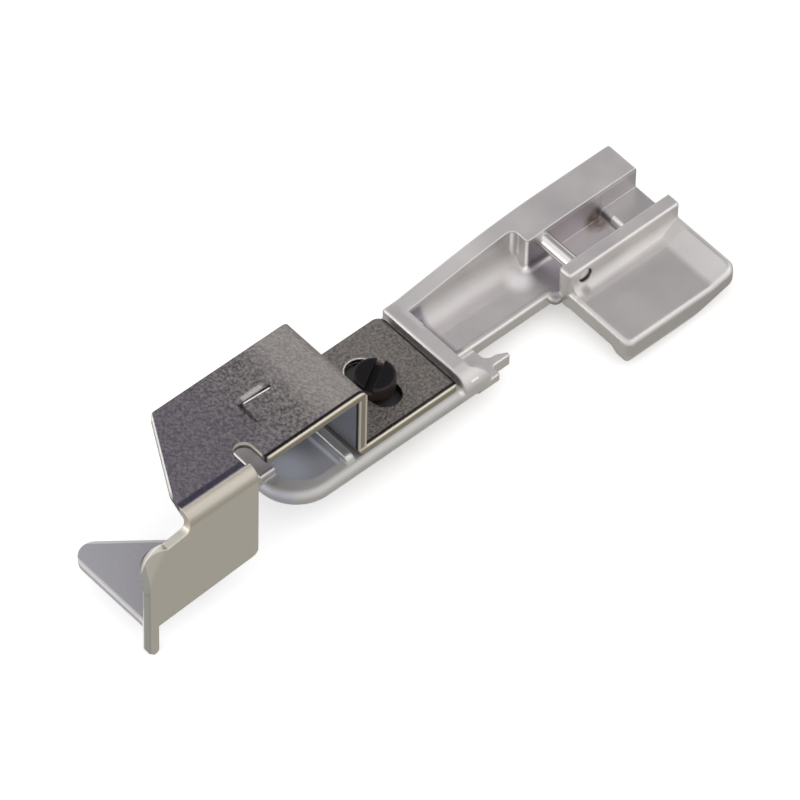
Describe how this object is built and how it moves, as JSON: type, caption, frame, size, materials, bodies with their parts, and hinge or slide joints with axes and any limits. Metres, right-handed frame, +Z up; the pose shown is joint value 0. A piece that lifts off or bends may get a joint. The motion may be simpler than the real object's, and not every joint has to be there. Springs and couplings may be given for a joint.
{
  "type": "sewing machine presser foot",
  "caption": "Overlock presser foot with an adjustable hem guide: a long satin casting with a cross pin for the ankle and a side wing, and a folded sheet guide clamped by a slotted screw.",
  "frame": {"origin": "on the sole, on the middle line of the pin channel, 0.28 mm behind the axis of the snap pin", "axes": "+X to the operator's right, +Y to the back of the machine, +Z up; the sole lies in Z = 0"},
  "size_m": [0.0205, 0.0767, 0.0193],
  "materials": {
    "casting": "satin",
    "pin": "polished",
    "sheet": "satin",
    "screw": "satin"
  },
  "bodies": {
    "foot": {"foot_body": "casting", "snap_pin": "pin"},
    "guide": {"guide_plate": "sheet"},
    "screw": {"clamp_screw": "screw"}
  },
  "joints": [
    {"name": "guide_slide", "type": "slide", "parent": "foot", "child": "guide", "axis": [1, 0, 0], "range_m": [-0.002, 0.00245]},
    {"name": "screw_turn", "type": "hinge", "parent": "foot", "child": "screw", "pos_m": [0, -0.0263, 0.0049], "axis": [0, 0, 1], "range_deg": [0, 360]}
  ]
}
